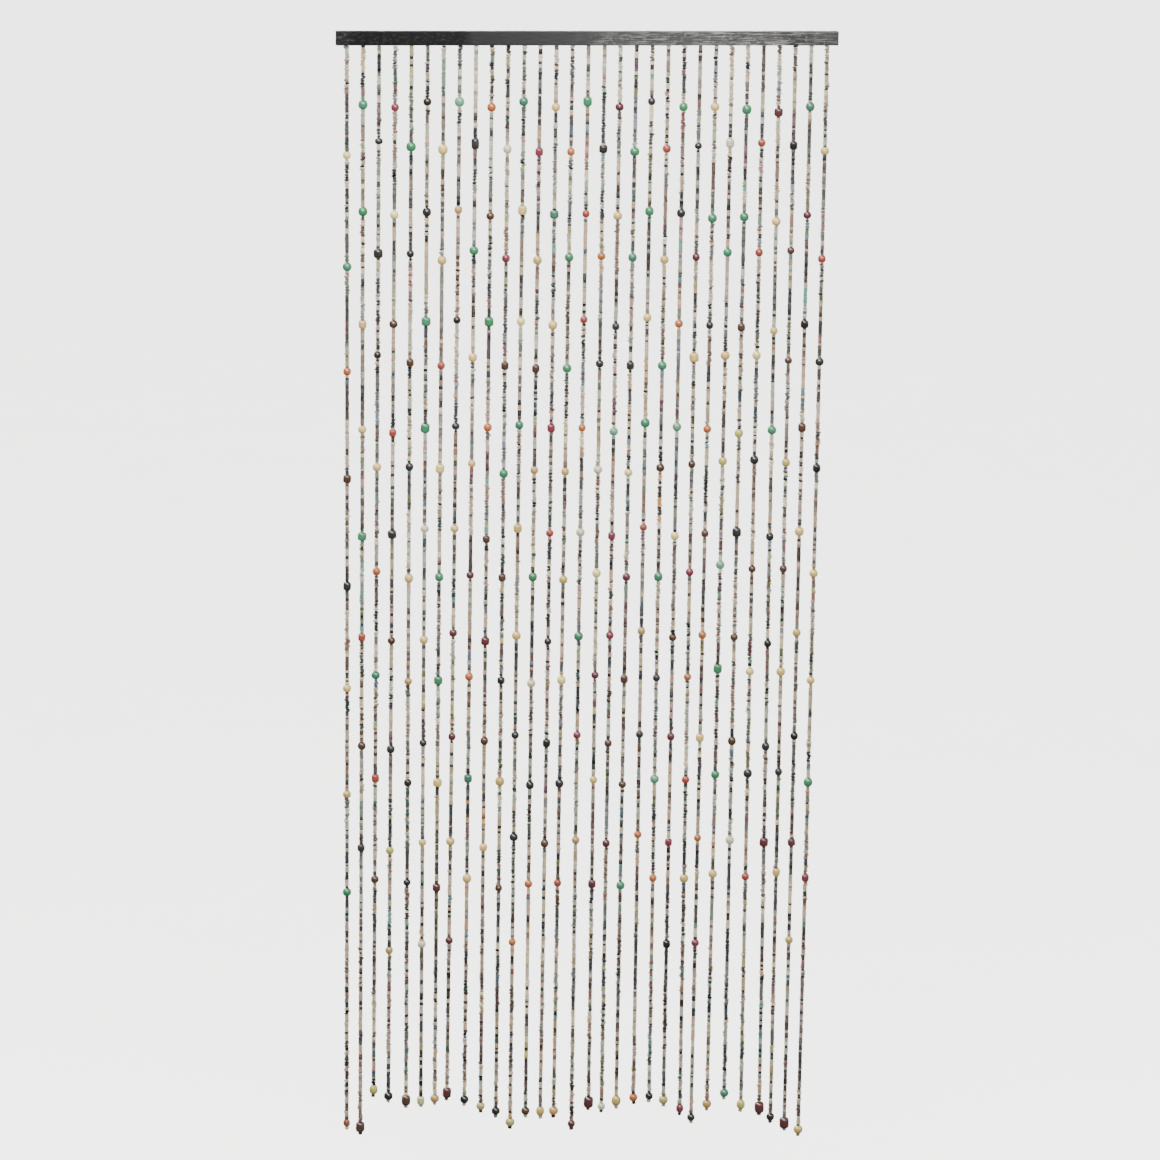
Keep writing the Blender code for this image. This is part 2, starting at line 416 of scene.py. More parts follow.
endBeadSettings = {
    "fullness": 1.10,
    "tail": 6.5,  # from the end bead down to the thread's tip
    "tilt": 3,
    "shade": (0.94, 1.04),
    "gloss": (0.22, 0.34),
}
stopperSettings = {
    "forms": ("tube", "round", "seed"),
    "belowEnd": 2.2,
    "width": (7.0, 8.8),
    "height": 5.6,
    "stray": 1.0,
    "tilt": (10, 18),
    "shade": 1.0,
    "gloss": 0.35,
}
unusualFirsts = {2: ("ball", 0.80), 6: ("ball", 1.08), 8: ("drum", 1.40)}  # string: form, height over width
overEnds = {  # string: the wide small bead that sits on its end bead
    9: {"form": "round", "width": 9.6, "colour": "cocoa"},
    11: {"form": "round", "width": 9.2, "colour": "amber"},
}


def pick(chance, weights):
    names = list(weights)
    return chance.choices(names, [weights[n] for n in names])[0]


def eitherWay(chance, limit):
    return chance.uniform(-limit, limit)


def drawSmallBeads(chance, character, room):  # forms, sizes and colours that fill a length of string
    s = layoutSettings
    beads, used = [], 0.0
    familyShares = {name: family["share"] for name, family in colourFamilies.items()}
    while used < room:
        style = pick(chance, character)
        stretchEnd = used + chance.uniform(*s["stretch"])
        families = [pick(chance, familyShares) for _ in range(chance.randint(*s["stretchColours"]))]
        colours = [chance.choice(list(colourFamilies[family]["colours"])) for family in families]
        while used < min(stretchEnd, room):
            colour = chance.choice(colours)
            form = pick(chance, stretchStyles[style])
            sizes = smallBeadSettings[form]
            for _ in range(s["longestRun"]):
                height = min(chance.uniform(*sizes["height"]), room - used)
                if height >= s["least"]:
                    beads.append({
                        "form": form if height > s["seedBelow"] else "seed",
                        "width": chance.uniform(*sizes["width"]), "height": height, "colour": colour,
                    })
                used += height
                if used >= room or chance.random() < s["runEnds"][form]:
                    break
    return beads


def fillGap(chance, character, top, bottom, kinTop, kinBottom):  # small beads between two depths
    s = layoutSettings
    beads = drawSmallBeads(chance, character, bottom - top)
    for index, kin in ((0, kinTop), (-1, kinBottom)):
        if kin and beads and chance.random() < s["kinChance"]:
            beads[index].update({
                "form": "round" if beads[index]["height"] > s["seedBelow"] else "seed",
                "width": chance.uniform(*s["kinWidth"]), "colour": kin,
            })
    slack = (bottom - top - sum(bead["height"] for bead in beads)) / max(len(beads), 1)
    depth = top
    for bead in beads:
        form = smallBeadSettings[bead["form"]]
        stray = max(bead["width"] - stringCore, 0) / 2 * form["offCentre"]
        bead.update({
            "depth": depth + slack / 2 + bead["height"] / 2,
            "offset": (eitherWay(chance, stray), eitherWay(chance, stray)),
            "tilt": (eitherWay(chance, form["tilt"]), eitherWay(chance, form["tilt"])),
            "spin": chance.uniform(0, 360), "shade": chance.uniform(*s["shade"]),
            "gloss": chance.choice(s["gloss"]),
        })
        depth += bead["height"] + slack
    return beads


def drawLargeBead(chance, number, index, depth, radius):
    s = largeBeadSettings
    bag = next(colours for least, colours in largeBags if radius >= least * mm)
    colour = stringRows[number]["firstColour"] if index == 0 else pick(chance, bag)
    form = "drum" if chance.random() < s["drumChance"] else "ball"
    tall = chance.uniform(*s["tall"])
    if index == 0 and number in unusualFirsts:
        form, tall = unusualFirsts[number]
    width = 2 * radius / mm * s["fullness"]
    return {
        "form": form, "depth": depth / mm, "width": width, "height": width * tall, "colour": colour,
        "offset": (eitherWay(chance, s["stray"]), 0),
        "tilt": (eitherWay(chance, s["tilt"]), eitherWay(chance, s["tilt"])),
        "spin": chance.uniform(0, 360), "shade": chance.uniform(*s["shade"]),
        "gloss": chance.uniform(*s["gloss"]),
    }


def drawEndBead(chance, row, top, width, height):
    s = endBeadSettings
    return {
        "form": row["endForm"], "depth": top + height / 2, "width": width, "height": height,
        "colour": row["endColour"], "offset": (0, 0),
        "tilt": (eitherWay(chance, s["tilt"]), eitherWay(chance, s["tilt"])),
        "spin": chance.uniform(0, 360), "shade": chance.uniform(*s["shade"]),
        "gloss": chance.uniform(*s["gloss"]),
    }


def drawStopper(chance, row, endBottom):
    s = stopperSettings
    return {
        "form": chance.choice(s["forms"]), "depth": endBottom + s["belowEnd"],
        "width": chance.uniform(*s["width"]), "height": s["height"], "colour": row["stopper"],
        "offset": (eitherWay(chance, s["stray"]), 0),
        "tilt": (eitherWay(chance, s["tilt"][0]), eitherWay(chance, s["tilt"][1])),
        "spin": chance.uniform(0, 360), "shade": s["shade"], "gloss": s["gloss"],
    }


def planString(number):  # every bead on a string, from its root to its stopper
    row = stringRows[number]
    chance = random.Random(layoutSettings["seed"] + number)
    character = chance.choice(stringCharacters)
    large, small = [], []
    top = chance.uniform(*layoutSettings["bareRoot"])
    kin = None
    for index, (depth, radius) in enumerate(largeBeadPlaces(number)):
        bead = drawLargeBead(chance, number, index, depth, radius)
        large.append(bead)
        kinAbove, kin = kin, kinOf[bead["colour"]]
        small += fillGap(chance, character, top, bead["depth"] - bead["height"] / 2, kinAbove, kin)
        top = bead["depth"] + bead["height"] / 2
    endWidth = row["endWidth"] * endBeadSettings["fullness"]
    endHeight = endWidth * largeForms[row["endForm"]]["rise"]
    endTop = row["drop"] - endBeadSettings["tail"] - endHeight
    small += fillGap(chance, character, top, endTop, kin, kinOf[row["endColour"]])
    if number in overEnds:
        small[-1].update(overEnds[number])
    end = drawEndBead(chance, row, endTop, endWidth, endHeight)
    stopper = drawStopper(chance, row, endTop + endHeight)
    return {"large": large, "small": small + [stopper], "end": [end]}


plans = [planString(number) for number in everyString]
print("beads planned:", sum(len(p["small"]) for p in plans), "small and",
      sum(len(p["large"]) for p in plans), "large")


# Joined meshes from arrays

bakeMap = "OFBake"  # each bead has a square of this map to itself
squareMargin = 0.06  # the share of the square that stays clear on each side
beadCrease = 60  # degrees: a sharper edge than this stays crisp


def copiesOf(shape, beads, path, colours, cells, firstCell):
    count = len(beads)
    points = shape["points"]
    sizes = np.array([(b["width"], b["width"], b["height"]) for b in beads]) * mm
    spin = np.radians([b["spin"] for b in beads])
    tiltX = np.radians([b["tilt"][0] for b in beads])
    tiltY = np.radians([b["tilt"][1] for b in beads])
    places = np.array([path(b["depth"] * mm) for b in beads])
    places[:, :2] += np.array([b["offset"] for b in beads]) * mm
    co = points[None] * sizes[:, None]
    for angle, (i, j) in ((spin, (0, 1)), (tiltX, (1, 2)), (tiltY, (2, 0))):
        c, s = np.cos(angle)[:, None], np.sin(angle)[:, None]
        u, v = co[:, :, i].copy(), co[:, :, j].copy()
        co[:, :, i], co[:, :, j] = c * u - s * v, s * u + c * v
    co += places[:, None]
    colour = np.array([colours[b["colour"]] for b in beads])
    colour[:, :3] *= np.array([b["shade"] for b in beads])[:, None]
    colour[:, 3] = [b["gloss"] for b in beads]
    cell = firstCell + np.arange(count)
    corner = np.stack((cell % cells, cell // cells), 1)
    uv = (corner[:, None] + squareMargin + (1 - 2 * squareMargin) * shape["uv"][None]) / cells
    faces = [[v + i * len(points) for v in face] for i in range(count) for face in shape["faces"]]
    return {"co": co.reshape(-1, 3), "colour": np.repeat(colour, len(points), 0),
            "uv": uv.reshape(-1, 2), "faces": faces}


def joinedMesh(name, parts, crease):
    co = np.concatenate([p["co"] for p in parts])
    faces, start = [], 0
    for part in parts:
        faces += [[v + start for v in face] for face in part["faces"]]
        start += len(part["co"])
    mesh = bpy.data.meshes.new(name)
    mesh.from_pydata(co, [], faces)
    mesh.shade_smooth()
    mesh.set_sharp_from_angle(angle=math.radians(crease))
    uv = np.concatenate([p["uv"] for p in parts])
    mesh.uv_layers.new(name=bakeMap).uv.foreach_set("vector", uv.astype(np.float32).ravel())
    if "colour" in parts[0]:
        colour = np.concatenate([p["colour"] for p in parts])
        layer = mesh.attributes.new("beadColour", "FLOAT_COLOR", "POINT")
        layer.data.foreach_set("color", colour.astype(np.float32).ravel())
    obj = bpy.data.objects.new(name, mesh)
    bpy.context.scene.collection.objects.link(obj)
    return obj


def beadPiece(name, numbers, kind, shapes, colours):
    total = sum(len(plans[n][kind]) for n in numbers)
    cells = math.ceil(math.sqrt(total))
    parts, cell = [], 0
    for number in numbers:
        for form, shape in shapes.items():
            beads = [b for b in plans[number][kind] if b["form"] == form]
            if beads:
                parts.append(copiesOf(shape, beads, stringPath(number), colours, cells, cell))
                cell += len(beads)
    return joinedMesh(name, parts, beadCrease)


# Materials of the beads. Each bead carries its colour, and its roughness as the colour's alpha

def lacqueredSmallBead():
    # Dyed wood and seed beads, tumbled in clear lacquer: muted colours with a soft shine and faint mottling
    material, tree, shader = newMaterial("tumbledLacqueredBeads")
    colour = addNode(tree, "ShaderNodeAttribute", {"attribute_name": "beadColour"})
    place = addNode(tree, "ShaderNodeTexCoord")
    mottle = addNode(tree, "ShaderNodeTexNoise", {"Scale": 0.9 / mm, "Detail": 3.0, "Roughness": 0.6},
                     {"Vector": place.outputs["Object"]})  # blotches of about 1 mm
    light = addNode(tree, "ShaderNodeMapRange", {"To Min": 0.78, "To Max": 1.22},
                    {"Value": mottle.outputs["Fac"]})
    mixed = addNode(tree, "ShaderNodeVectorMath", {"operation": "SCALE"},
                    {"Vector": colour.outputs["Color"], "Scale": light.outputs["Result"]})
    tree.links.new(mixed.outputs["Vector"], shader.inputs["Base Color"])
    tree.links.new(colour.outputs["Alpha"], shader.inputs["Roughness"])
    bump = addNode(tree, "ShaderNodeBump", {"Strength": 0.25, "Distance": 0.2 * mm},
                   {"Height": mottle.outputs["Fac"]})
    tree.links.new(bump.outputs["Normal"], shader.inputs["Normal"])
    shader.inputs["IOR"].default_value = 1.5
    shader.inputs["Specular IOR Level"].default_value = 0.3
    shader.inputs["Coat Weight"].default_value = 0.08
    shader.inputs["Coat Roughness"].default_value = 0.15
    return material


def lacqueredLargeBead():
    # Turned hardwood, dyed and dipped in clear lacquer: the grain shows faintly, and the light pools in a
    # small spot
    material, tree, shader = newMaterial("dyedTurnedWood")
    colour = addNode(tree, "ShaderNodeAttribute", {"attribute_name": "beadColour"})
    place = addNode(tree, "ShaderNodeTexCoord")
    stretch = addNode(tree, "ShaderNodeMapping", {"Scale": (1.0, 1.0, 0.22)},
                      {"Vector": place.outputs["Object"]})
    grain = addNode(tree, "ShaderNodeTexNoise", {"Scale": 1.4 / mm, "Detail": 4.0, "Roughness": 0.65},
                    {"Vector": stretch.outputs["Vector"]})  # fibres of about 0.7 mm, longer down the bead
    light = addNode(tree, "ShaderNodeMapRange", {"To Min": 0.72, "To Max": 1.28},
                    {"Value": grain.outputs["Fac"]})
    mixed = addNode(tree, "ShaderNodeVectorMath", {"operation": "SCALE"},
                    {"Vector": colour.outputs["Color"], "Scale": light.outputs["Result"]})
    tree.links.new(mixed.outputs["Vector"], shader.inputs["Base Color"])
    tree.links.new(colour.outputs["Alpha"], shader.inputs["Roughness"])
    bump = addNode(tree, "ShaderNodeBump", {"Strength": 0.2, "Distance": 0.2 * mm},
                   {"Height": grain.outputs["Fac"]})
    tree.links.new(bump.outputs["Normal"], shader.inputs["Normal"])
    shader.inputs["IOR"].default_value = 1.5
    shader.inputs["Specular IOR Level"].default_value = 0.2
    shader.inputs["Coat Weight"].default_value = 0.7
    shader.inputs["Coat IOR"].default_value = 1.6
    shader.inputs["Coat Roughness"].default_value = 0.16
    return material


# The beads

smallPieceCount = 5  # neighbouring strings share a piece, so that none has too many faces
smallMaterial = lacqueredSmallBead()
largeMaterial = lacqueredLargeBead()
beadPieces = []
for index, numbers in enumerate(np.array_split(everyString, smallPieceCount), 1):
    piece = beadPiece("smallBeads%d" % index, numbers.tolist(), "small", smallShapes, smallColours)
    beadPieces.append(finishPiece(piece, smallMaterial))
for kind in ("large", "end"):
    piece = beadPiece(kind + "Beads", everyString, kind, largeShapes, largeColours)
    beadPieces.append(finishPiece(piece, largeMaterial))
for piece in beadPieces:
    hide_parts("strands")
print("beads strung:", sum(len(piece.data.polygons) for piece in beadPieces), "faces")


# Threads, with a knot and a short tail under each stopper

threadSettings = {
    "radius": 0.42 * mm,
    "sides": 5,
    "step": 30 * mm,
    "rootLift": 1.2 * mm,
    "crease": 80,  # degrees
    "mapMargin": 0.1,  # the share of a thread's strip of the map that stays clear on each side
    "seed": 9000,
    "knotUp": 2.3,  # mm from the tip up to the knot
    "knotRadius": 0.45 * mm,
    "knotSize": 0.30 * mm,
    "knotSteps": 26,
    "knotSpin": 6.28,  # radians
    "tail": 2.4 * mm,
    "tailLean": ((-0.5, 0.5), (-0.5, 0.3)),  # sideways and forwards, over the tail's length
    "tailShape": ((0.0, 1.0), (0.4, 1.0), (0.75, 1.1), (0.96, 0.6)),  # share of its length, share of radius
}
acrossThreads = Vector((0.31, 0.93, 0.17))  # a direction that no thread or knot runs along


def twistedThread():
    # Two-ply cotton thread, undyed: matt, with the twist as slanting stripes about 2.3 mm apart; the darker
    # stripes are painted shade in the grooves between the plies
    material, tree, shader = newMaterial("twistedCotton")
    place = addNode(tree, "ShaderNodeUVMap", {"uv_map": bakeMap})
    turned = addNode(tree, "ShaderNodeMapping", {"Scale": (len(stringRows), 1700.0, 1.0)},
                     {"Vector": place.outputs["UV"]})
    ply = addNode(tree, "ShaderNodeTexWave",
                  {"bands_direction": "DIAGONAL", "Scale": 0.32, "Distortion": 0.6},
                  {"Vector": turned.outputs["Vector"]})
    # painted shade: the darker colour lies in the grooves between the plies
    shades = addNode(tree, "ShaderNodeMix", {"data_type": "RGBA", 6: linearColour("#6f675a"),
                                             7: linearColour("#b9ae9a")}, {0: ply.outputs["Fac"]})
    tree.links.new(shades.outputs[2], shader.inputs["Base Color"])
    bump = addNode(tree, "ShaderNodeBump", {"Strength": 0.5, "Distance": 0.2 * mm},
                   {"Height": ply.outputs["Fac"]})
    tree.links.new(bump.outputs["Normal"], shader.inputs["Normal"])
    shader.inputs["Roughness"].default_value = 0.85
    shader.inputs["Sheen Weight"].default_value = 0.2
    return material


def tubeArrays(points, radii, sides, number, closed=False):
    points = [Vector(p) for p in points]
    margin, strips = threadSettings["mapMargin"], len(stringRows)
    count = len(points)
    co, uv, faces = [], [], []
    for i, point in enumerate(points):
        before = points[i - 1] if i or closed else point
        after = points[(i + 1) % count] if i < count - 1 or closed else point
        along = (after - before).normalized()
        side = along.cross(acrossThreads).normalized()
        up = side.cross(along)
        for s in range(sides):
            angle = 2 * math.pi * s / sides
            co.append(point + (side * math.cos(angle) + up * math.sin(angle)) * radii[i])
    rings = count if closed else count - 1
    for i in range(rings):
        for s in range(sides):
            t, j = (s + 1) % sides, (i + 1) % count
            faces.append([i * sides + s, i * sides + t, j * sides + t, j * sides + s])
            uv += [((number + margin + (1 - 2 * margin) * a / sides) / strips, b / rings)
                   for a, b in ((s, i), (s + 1, i), (s + 1, i + 1), (s, i + 1))]
    if not closed:
        for ring, order in ((0, range(sides - 1, -1, -1)), (count - 1, range(sides))):
            faces.append([ring * sides + s for s in order])
            uv += [((number + 0.5) / strips, ring / count)] * sides
    return {"co": np.array(co), "faces": faces, "uv": np.array(uv)}


def knotLine(centre, spin):  # a trefoil, as an overhand knot pulled round the thread
    line = []
    for i in range(threadSettings["knotSteps"]):
        t = 2 * math.pi * i / threadSettings["knotSteps"]
        p = Vector((math.sin(t) + 2 * math.sin(2 * t), -math.sin(3 * t), math.cos(t) - 2 * math.cos(2 * t)))
        p.rotate(Matrix.Rotation(spin, 3, "Z"))
        line.append(centre + p * threadSettings["knotSize"])
    return line


def threadParts(number):
    s = threadSettings
    path = stringPath(number)
    chance = random.Random(s["seed"] + number)
    knotDepth = (stringRows[number]["drop"] - s["knotUp"]) * mm
    steps = int(knotDepth / s["step"])
    depths = [-s["rootLift"]] + [knotDepth * i / steps for i in range(1, steps + 1)]
    line = [path(d) for d in depths]
    centre, spin = Vector(path(knotDepth)), chance.uniform(0, s["knotSpin"])
    knot = knotLine(centre, spin)
    sideways, forwards = s["tailLean"]
    lean = Vector((chance.uniform(*sideways), chance.uniform(*forwards), -1)) * s["tail"]
    tail = [centre + lean * share + Vector((lean.y, 0, 0)) * share * share for share, _ in s["tailShape"]]
    tailRadii = [s["radius"] * fullness for _, fullness in s["tailShape"]]
    return [
        tubeArrays(line, [s["radius"]] * len(line), s["sides"], number),
        tubeArrays(knot, [s["knotRadius"]] * len(knot), s["sides"], number, closed=True),
        tubeArrays(tail, tailRadii, s["sides"], number),
    ]


threads = joinedMesh("threads", [part for n in everyString for part in threadParts(n)],
                     threadSettings["crease"])
finishPiece(threads, twistedThread())
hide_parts("strands")
print("threads run")


# Lath, with the groove in its underside and the strip that closes it

railSettings = {
    "edge": 0.9 * mm,
    "edgeSteps": 3,
    "cuts": 120,  # along the lath, so that the saw marks have points to move
    "rows": 5,
    "relief": 0.35 * mm,
    "reliefLevel": 0.72,  # the marks go more inwards than outwards
    "sawMark": 12 * mm,
    "grooveWidth": 6.2 * mm,
    "grooveDepth": 4.2 * mm,
    "grooveEnd": 10.0 * mm,
    "cutOvershoot": 4 * mm,
    "fitGap": 0.3 * mm,
    "chipRise": 2.2 * mm,  # the corner that has broken off at the lower left
    "chipReach": 0.6,  # along the lath, over its rise
    "chipFacing": (-0.85, -0.25, -0.55),
    "crease": 35,  # degrees
    "hole": 2.2 * mm,  # in the strip, one for each thread
    "holeDepth": 1.6 * mm,
}


def addBlock(name, low, high):
    deselectAll()
    low, high = Vector(low), Vector(high)
    bpy.ops.mesh.primitive_cube_add(size=1.0, location=(low + high) / 2)
    block = bpy.context.object
    block.name = name
    block.scale = high - low
    bpy.ops.object.transform_apply(location=True, rotation=True, scale=True)
    return block


def applyModifier(obj, kind, settings):
    modifier = obj.modifiers.new(kind.title(), kind)
    for key, value in settings.items():
        setattr(modifier, key, value)
    makeActive(obj)
    bpy.ops.object.modifier_apply(modifier=modifier.name)


def crossCuts(obj, places, normal):
    makeActive(obj)
    bpy.ops.object.mode_set(mode="EDIT")
    for place in places:
        bpy.ops.mesh.select_all(action="SELECT")
        bpy.ops.mesh.bisect(plane_co=place, plane_no=normal)
    bpy.ops.object.mode_set(mode="OBJECT")


def makeLath():
    s = railSettings
    lath = addBlock("lath", railLow, railHigh)
    applyModifier(lath, "BEVEL", {"width": s["edge"], "segments": s["edgeSteps"], "limit_method": "ANGLE"})
    span, rise = railHigh.x - railLow.x, railHigh.z - railLow.z
    crossCuts(lath, [(railLow.x + span * i / s["cuts"], 0, 0) for i in range(1, s["cuts"])], (1, 0, 0))
    crossCuts(lath, [(0, 0, railLow.z + rise * i / s["rows"]) for i in range(1, s["rows"])], (0, 0, 1))
    clouds = bpy.data.textures.new("sawMarks", "CLOUDS")
    clouds.noise_scale = s["sawMark"]
    applyModifier(lath, "DISPLACE", {"texture": clouds, "texture_coords": "LOCAL",
                                     "strength": s["relief"], "mid_level": s["reliefLevel"]})
    halfWidth = s["grooveWidth"] / 2
    cutter = addBlock(
        "grooveCutter",
        (railLow.x + s["grooveEnd"], stringY - halfWidth, underside - s["cutOvershoot"]),
        (railHigh.x - s["grooveEnd"], stringY + halfWidth, underside + s["grooveDepth"]),
    )
    applyModifier(lath, "BOOLEAN", {"object": cutter, "operation": "DIFFERENCE", "solver": "EXACT"})
    bpy.data.objects.remove(cutter)
    makeActive(lath)
    bpy.ops.object.mode_set(mode="EDIT")
    bpy.ops.mesh.select_all(action="SELECT")
    corner = (railLow.x + s["chipRise"] * s["chipReach"], railLow.y, underside + s["chipRise"])
    bpy.ops.mesh.bisect(plane_co=corner, plane_no=s["chipFacing"], clear_outer=True, use_fill=True)
    bpy.ops.object.mode_set(mode="OBJECT")
    bpy.ops.object.shade_smooth_by_angle(angle=math.radians(s["crease"]))
    return lath


def makeStrip():
    s = railSettings
    inset, halfWidth = s["grooveEnd"] + s["fitGap"], s["grooveWidth"] / 2 - s["fitGap"]
    strip = addBlock(
        "rootStrip",
        (railLow.x + inset, stringY - halfWidth, underside),
        (railHigh.x - inset, stringY + halfWidth, underside + s["grooveDepth"] - s["fitGap"]),
    )
    roots = [stringPath(n)(0.0)[0] for n in everyString]
    half = s["hole"] / 2
    crossCuts(strip, [(x + side * half, 0, 0) for x in roots for side in (-1, 1)], (1, 0, 0))
    crossCuts(strip, [(0, stringY + side * half, 0) for side in (-1, 1)], (0, 1, 0))
    makeActive(strip)
    bpy.ops.object.mode_set(mode="EDIT")
    selectWhere(strip, lambda f: f.normal.z < -0.9 and abs(f.calc_center_median().y - stringY) < half
                and min(abs(f.calc_center_median().x - x) for x in roots) < half / 2)
    bpy.ops.mesh.extrude_region_move(TRANSFORM_OT_translate={"value": (0, 0, s["holeDepth"])})
    bpy.ops.mesh.normals_make_consistent(inside=False)
    bpy.ops.object.mode_set(mode="OBJECT")
    return strip


lathWearAndSheen = {
    # Along the lath, as a share of its length: the base colour, and how strong the pale streaks and the
    # dull smudges are. The base colour lightening towards the right end is painted sheen, as is the
    # streaks' rise there
    "base": ((0.0, "#171717"), (0.04, "#0d0d0d"), (0.25, "#121212"), (0.27, "#222222"), (0.40, "#292929"),
             (0.51, "#2f2f2f"), (0.55, "#353535"), (0.86, "#363636"), (0.90, "#2c2c2c"), (1.0, "#303030")),
    "streaks": ((0.38, "#000000"), (0.49, "#404040"), (0.53, "#b0b0b0"), (0.86, "#ffffff"),
                (1.0, "#909090")),
    "smudges": ((0.0, "#ffffff"), (0.05, "#909090"), (0.24, "#a0a0a0"), (0.28, "#202020"),
                (0.5, "#000000")),
    "paleStreak": "#7b7b77",
    "smudge": "#3a3a3a",
    # Marks: their size in mm along X, Y and Z, the noise levels where they begin and are full, and detail
    "grainMarks": ((24, 1.5, 1.5), 0.3, 0.7, 5.0),
    "longStreaks": ((36, 2.1, 2.1), 0.50, 0.64, 5.0),
    "shortStreaks": ((7, 4, 4), 0.54, 0.80, 4.0),
    "smudgeMarks": ((8, 5, 5), 0.50, 0.66, 5.0),
}


def blackStainedWood():
    # Softwood lath under a black stain, near black at the left end, with pale streaks along the grain and
    # dull smudges on the dark end. The colour lightening towards the right end, with the streaks stronger
    # there, is painted sheen
    material, tree, shader = newMaterial("blackStainedSoftwood")
    place = addNode(tree, "ShaderNodeTexCoord")
    axes = addNode(tree, "ShaderNodeSeparateXYZ", links={"Vector": place.outputs["Object"]})
    along = addNode(tree, "ShaderNodeMapRange", {"From Min": railLow.x, "From Max": railHigh.x},
                    {"Value": axes.outputs["X"]})

    def lengthwise(name):
        ramp = addNode(tree, "ShaderNodeValToRGB", links={"Fac": along.outputs["Result"]})
        stops = lathWearAndSheen[name]
        for element, (position, code) in zip(ramp.color_ramp.elements, (stops[0], stops[-1])):
            element.position, element.color = position, linearColour(code)
        for position, code in stops[1:-1]:
            ramp.color_ramp.elements.new(position).color = linearColour(code)
        return ramp.outputs["Color"]

    def marks(name):
        size, begin, full, detail = lathWearAndSheen[name]
        scaled = addNode(tree, "ShaderNodeMapping", {"Scale": [1 / (m * mm) for m in size]},
                         {"Vector": place.outputs["Object"]})
        noise = addNode(tree, "ShaderNodeTexNoise", {"Scale": 1.0, "Detail": detail, "Roughness": 0.62},
                        {"Vector": scaled.outputs["Vector"]})
        return addNode(tree, "ShaderNodeMapRange", {"From Min": begin, "From Max": full},
                       {"Value": noise.outputs["Fac"]}).outputs["Result"]

    def blend(strengths, amount, under, over):
        factor = addNode(tree, "ShaderNodeMath", {"operation": "MULTIPLY"}, {0: strengths, 1: amount})
        mix = addNode(tree, "ShaderNodeMix", {"data_type": "RGBA", 7: linearColour(over)},
                      {0: factor.outputs["Value"], 6: under})
        return mix.outputs[2]

    grain = marks("grainMarks")
    shade = addNode(tree, "ShaderNodeMapRange", {"To Min": 0.7, "To Max": 1.35}, {"Value": grain})
    # painted sheen: the lengthwise base colour lightens towards the right end
    base = addNode(tree, "ShaderNodeVectorMath", {"operation": "SCALE"},
                   {"Vector": lengthwise("base"), "Scale": shade.outputs["Result"]})
    colour = base.outputs["Vector"]
    # painted sheen: the pale streaks grow stronger towards the right end
    for name in ("longStreaks", "shortStreaks"):
        colour = blend(lengthwise("streaks"), marks(name), colour, lathWearAndSheen["paleStreak"])
    colour = blend(lengthwise("smudges"), marks("smudgeMarks"), colour, lathWearAndSheen["smudge"])
    tree.links.new(colour, shader.inputs["Base Color"])
    rough = addNode(tree, "ShaderNodeMapRange", {"To Min": 0.5, "To Max": 0.8}, {"Value": grain})
    tree.links.new(rough.outputs["Result"], shader.inputs["Roughness"])
    bump = addNode(tree, "ShaderNodeBump", {"Strength": 0.6, "Distance": 0.4 * mm}, {"Height": grain})
    tree.links.new(bump.outputs["Normal"], shader.inputs["Normal"])
    shader.inputs["IOR"].default_value = 1.45
    shader.inputs["Specular IOR Level"].default_value = 0.07
    return material


stainedWood = blackStainedWood()
lath = finishPiece(makeLath(), stainedWood)
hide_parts("rail")
strip = finishPiece(makeStrip(), stainedWood)
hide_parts("strands")
print("lath and strip made")


# Floor and light

stageSettings = {
    "floorDrop": 0.35,
    "floorSize": 120.0,
    "floorColours": ("#f4f4f2", "#f8f8f6"),
    "domeRadius": 55.0,
    "domeColour": "#fbfbf9",
    "domeGlow": 4.0,
    "world": 0.30,
    "key": {"power": 450.0, "size": 2.2, "place": (-0.5, -2.8, 1.9), "aim": (0.0, 0.0, -0.5)},
    "fill": {"strength": 1.3, "angle": 70, "turn": (60, 0, 45)},  # angles in degrees
    "back": {"strength": 12.0, "angle": 40, "turn": (25, 0, 200)},
}


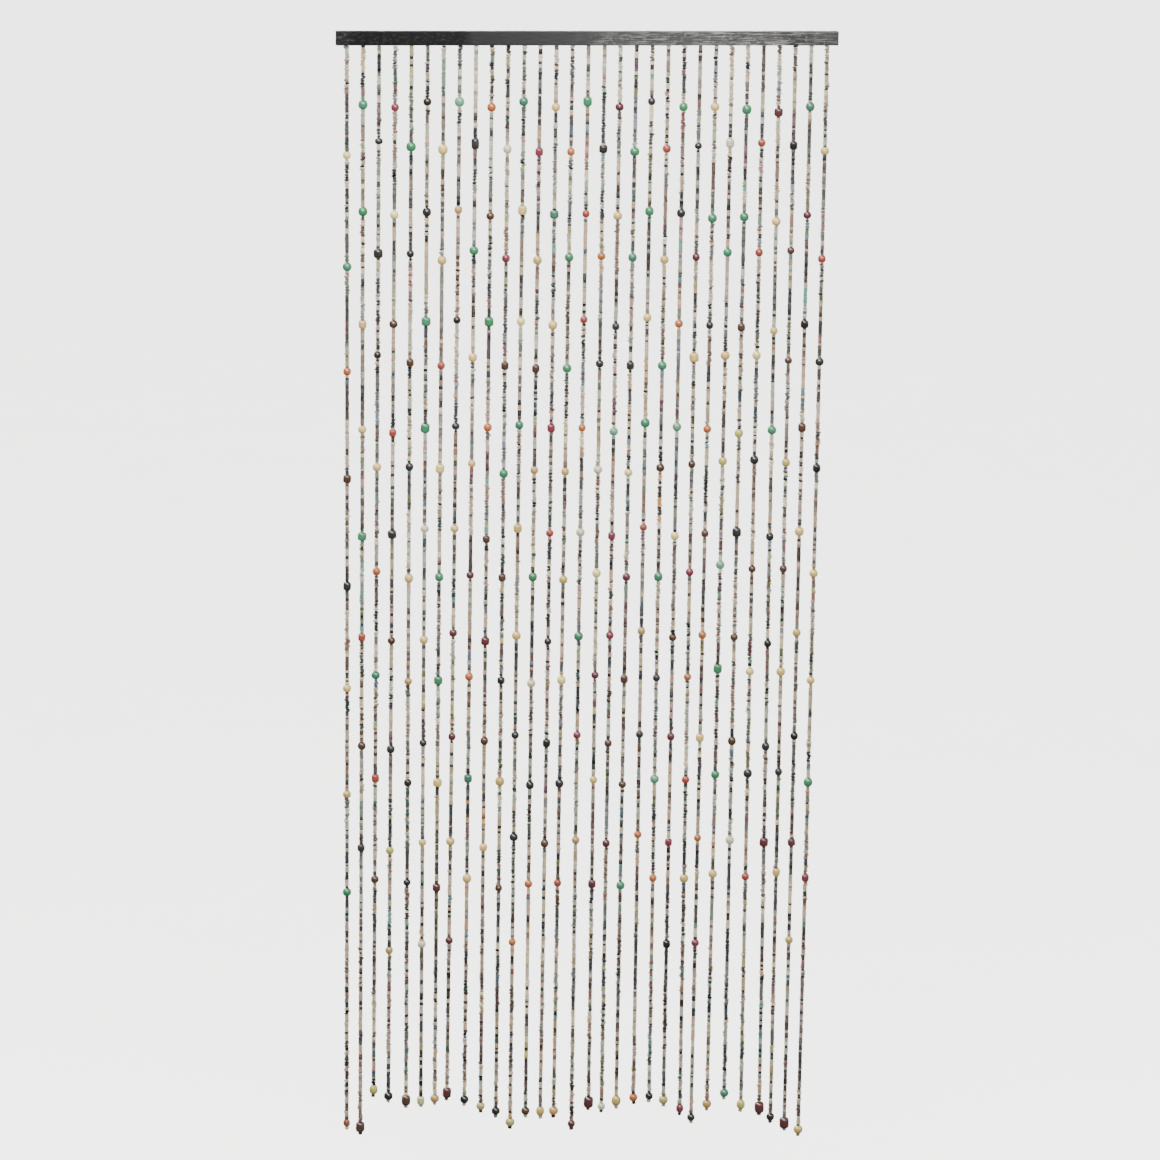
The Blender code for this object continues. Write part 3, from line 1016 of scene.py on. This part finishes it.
def makeFloor():
    deselectAll()
    floorZ = cadBox[0].z - stageSettings["floorDrop"]
    bpy.ops.mesh.primitive_plane_add(size=stageSettings["floorSize"], location=(0, 0, floorZ))
    floor = bpy.context.object
    floor.name = "floor"
    material, tree, shader = newMaterial("paleStudioPaper")  # white paper, matt, a little uneven
    place = addNode(tree, "ShaderNodeTexCoord")
    unevenness = addNode(tree, "ShaderNodeTexNoise", {"Scale": 3.0, "Detail": 2.0},
                         {"Vector": place.outputs["Object"]})
    low, high = [linearColour(code) for code in stageSettings["floorColours"]]
    shades = addNode(tree, "ShaderNodeMix", {"data_type": "RGBA", 6: low, 7: high},
                     {0: unevenness.outputs["Fac"]})
    tree.links.new(shades.outputs[2], shader.inputs["Base Color"])
    shader.inputs["Roughness"].default_value = 0.9
    shader.inputs["Specular IOR Level"].default_value = 0.2
    floor.data.materials.append(material)
    floor.visible_diffuse = False  # the paper's own glare is flagged off the beads, as in a studio
    floor.visible_glossy = False


def makeDome():  # the paper runs on up round the room, so that the floor shows no edge from any side
    deselectAll()
    bpy.ops.mesh.primitive_uv_sphere_add(segments=64, ring_count=32, radius=stageSettings["domeRadius"])
    dome = bpy.context.object
    dome.name = "dome"
    material, tree, shader = newMaterial("litStudioPaper")
    shader.inputs["Base Color"].default_value = (0.0, 0.0, 0.0, 1.0)
    shader.inputs["Specular IOR Level"].default_value = 0.0
    shader.inputs["Emission Color"].default_value = linearColour(stageSettings["domeColour"])
    shader.inputs["Emission Strength"].default_value = stageSettings["domeGlow"]
    dome.data.materials.append(material)
    dome.visible_diffuse = False
    dome.visible_glossy = False
    dome.visible_shadow = False


def makeSoftbox():  # near the lath, so that its light falls off a little towards the strings' ends
    key = stageSettings["key"]
    data = bpy.data.lights.new("key", "AREA")
    data.energy = key["power"]
    data.size = key["size"]
    softbox = bpy.data.objects.new("key", data)
    softbox.location = key["place"]
    softbox.rotation_euler = (Vector(key["aim"]) - Vector(key["place"])).to_track_quat("-Z", "Y").to_euler()
    softbox.visible_camera = False
    bpy.context.scene.collection.objects.link(softbox)


def makeSun(name):
    settings = stageSettings[name]
    data = bpy.data.lights.new(name, "SUN")
    data.energy = settings["strength"]
    data.angle = math.radians(settings["angle"])
    lamp = bpy.data.objects.new(name, data)
    lamp.rotation_euler = [math.radians(a) for a in settings["turn"]]
    bpy.context.scene.collection.objects.link(lamp)


def makeWorld():
    world = bpy.data.worlds.new("studioAir")
    world.use_nodes = True
    bpy.context.scene.world = world
    sky = world.node_tree.nodes["Background"]
    sky.inputs["Color"].default_value = (1.0, 1.0, 1.0, 1.0)
    sky.inputs["Strength"].default_value = stageSettings["world"]


makeFloor()
makeDome()
makeSoftbox()
makeSun("fill")
makeSun("back")
makeWorld()
print("stage lit")
